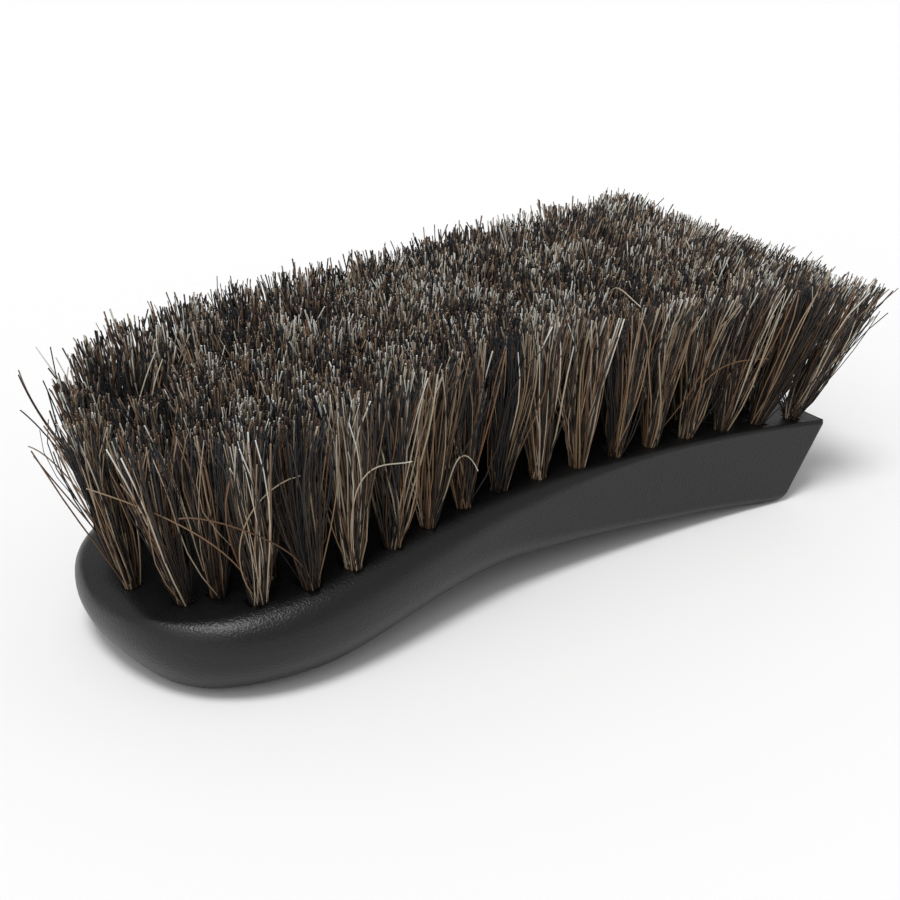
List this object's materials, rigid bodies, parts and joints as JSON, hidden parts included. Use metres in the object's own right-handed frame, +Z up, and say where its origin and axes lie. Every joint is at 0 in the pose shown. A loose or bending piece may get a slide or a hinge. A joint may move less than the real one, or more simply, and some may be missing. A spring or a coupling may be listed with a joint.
{
  "type": "shoe shine brush",
  "caption": "Shoe shine brush: a waisted, arched moulded handle with a round lobe and a flared tail, set with staggered tufts of dense trimmed horsehair.",
  "frame": {"origin": "under the middle of the whole brush, at the level that the back of its handle lies on", "axes": "+X along the brush towards its square tail, +Y across it, +Z up through the hair"},
  "size_m": [0.1774, 0.0808, 0.0578],
  "materials": {
    "handle": "black, finely grained moulding",
    "hair": "mixed black, brown and grey horsehair",
    "anchor_wire": "flat tinned wire"
  },
  "bodies": {
    "root": {"handle_block": "handle", "tuft_row_01": "hair", "tuft_row_02": "hair", "tuft_row_03": "hair", "tuft_row_04": "hair", "tuft_row_05": "hair", "tuft_row_06": "hair", "tuft_row_07": "hair", "tuft_row_08": "hair", "tuft_row_09": "hair", "tuft_row_10": "hair", "tuft_row_11": "hair", "tuft_row_12": "hair", "tuft_row_13": "hair", "tuft_row_14": "hair", "tuft_row_15": "hair", "tuft_row_16": "hair", "anchor_row_01": "anchor_wire", "anchor_row_02": "anchor_wire", "anchor_row_03": "anchor_wire", "anchor_row_04": "anchor_wire", "anchor_row_05": "anchor_wire", "anchor_row_06": "anchor_wire", "anchor_row_07": "anchor_wire", "anchor_row_08": "anchor_wire", "anchor_row_09": "anchor_wire", "anchor_row_10": "anchor_wire", "anchor_row_11": "anchor_wire", "anchor_row_12": "anchor_wire", "anchor_row_13": "anchor_wire", "anchor_row_14": "anchor_wire", "anchor_row_15": "anchor_wire", "anchor_row_16": "anchor_wire"}
  },
  "joints": []
}
